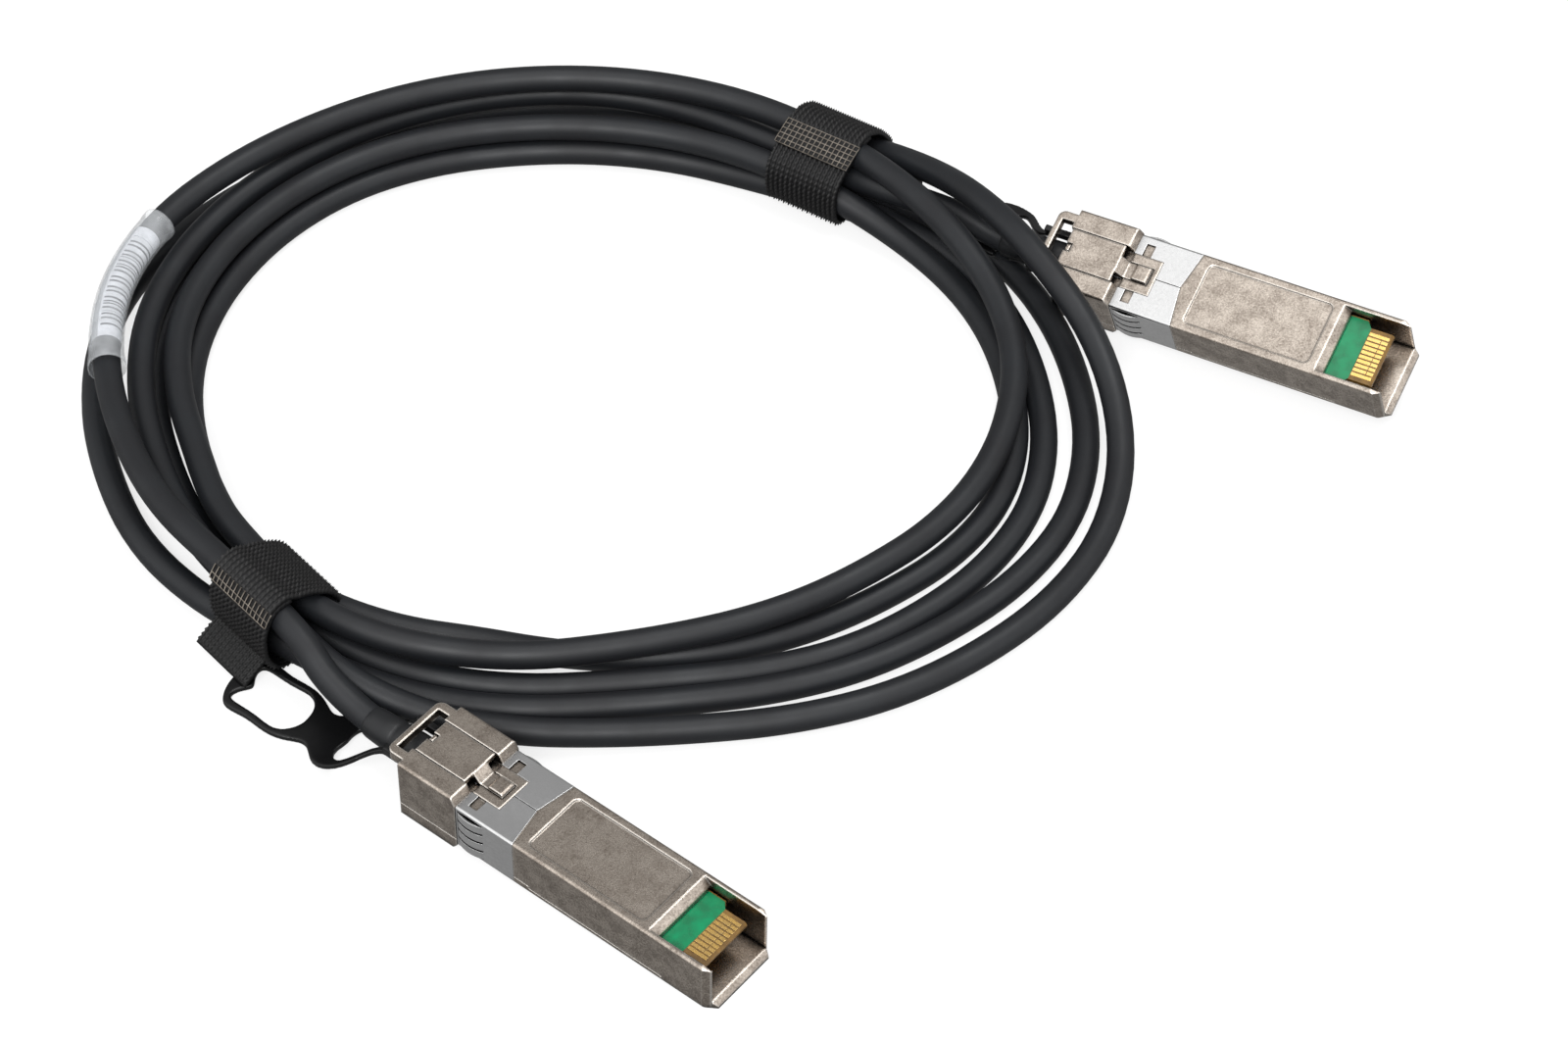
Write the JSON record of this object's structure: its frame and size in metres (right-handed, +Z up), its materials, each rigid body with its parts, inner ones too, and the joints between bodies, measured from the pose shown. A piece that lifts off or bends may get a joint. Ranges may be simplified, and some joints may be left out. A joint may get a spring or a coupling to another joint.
{
  "type": "direct attach copper cable",
  "caption": "Coiled direct attach copper cable: latching die-cast plugs with pull tabs on a round twin-axial cable tied by hook-and-loop straps.",
  "frame": {"origin": "middle of the floor area that the two plugs and their tabs stand in", "axes": "+Z up from the floor, +X to the right and +Y to the back as the coil lies; the long way of the plugs' area is along X"},
  "size_m": [0.2076, 0.1869, 0.0164],
  "materials": {
    "die_cast": "bead-blasted nickel plate on zinc",
    "spring_steel": "bright",
    "soft_tab": "satin",
    "board": "solder mask",
    "contact_gold": "gold flash",
    "wire_insulation": "satin",
    "ferrule_metal": "crimped",
    "cable_jacket": "matte PVC",
    "strap_fabric": "hook-and-loop weave",
    "sleeve_film": "clear film",
    "label_paper": "printed bars"
  },
  "bodies": {
    "cable_body": {"base_shell_a": "die_cast", "cover_shell_a": "die_cast", "emi_collar_a": "spring_steel", "latch_pin_a": "spring_steel", "latch_spring_a": "spring_steel", "circuit_board_a": "board", "contact_pads_a": "contact_gold", "wire_pairs_a": "wire_insulation", "crimp_ferrule_a": "ferrule_metal", "cable_boot_a": "cable_jacket", "base_shell_b": "die_cast", "cover_shell_b": "die_cast", "emi_collar_b": "spring_steel", "latch_pin_b": "spring_steel", "latch_spring_b": "spring_steel", "circuit_board_b": "board", "contact_pads_b": "contact_gold", "wire_pairs_b": "wire_insulation", "crimp_ferrule_b": "ferrule_metal", "cable_boot_b": "cable_jacket", "cable_coil": "cable_jacket", "cable_lead_a": "cable_jacket", "cable_lead_b": "cable_jacket", "cable_over_left": "cable_jacket", "cable_over_right": "cable_jacket", "cable_outer_turn": "cable_jacket", "strap_a": "strap_fabric", "strap_b": "strap_fabric", "id_sleeve": "sleeve_film", "id_label": "label_paper"},
    "release_a": {"release_slider_a": "spring_steel", "pull_tab_a": "soft_tab"},
    "release_b": {"release_slider_b": "spring_steel", "pull_tab_b": "soft_tab"},
    "latch_a": {"latch_a": "die_cast"},
    "latch_b": {"latch_b": "die_cast"}
  },
  "joints": [
    {"name": "release_slide_a", "type": "slide", "parent": "cable_body", "child": "release_a", "axis": [-0.7825, 0.6224, 0.0192], "range_m": [0, 0.0025], "stiffness_N_per_m": 250},
    {"name": "latch_swing_a", "type": "hinge", "parent": "cable_body", "child": "latch_a", "pos_m": [-0.05256, -0.04779, 0.00958], "axis": [0.6225, 0.7826, 0], "range_deg": [0, 5], "stiffness_Nm_per_rad": 0.01, "deforming": ["latch_spring_a"]},
    {"name": "release_slide_b", "type": "slide", "parent": "cable_body", "child": "release_b", "axis": [-0.872, 0.4873, -0.0471], "range_m": [0, 0.0025], "stiffness_N_per_m": 250},
    {"name": "latch_swing_b", "type": "hinge", "parent": "cable_body", "child": "latch_b", "pos_m": [0.04226, 0.05292, 0.01167], "axis": [0.4377, 0.819, 0.371], "range_deg": [0, 5], "stiffness_Nm_per_rad": 0.01, "deforming": ["latch_spring_b"]}
  ],
  "couplings": [
    {"joint": "latch_swing_a", "follows": "release_slide_a", "rad_per_m": 34.9},
    {"joint": "latch_swing_b", "follows": "release_slide_b", "rad_per_m": 34.9}
  ]
}
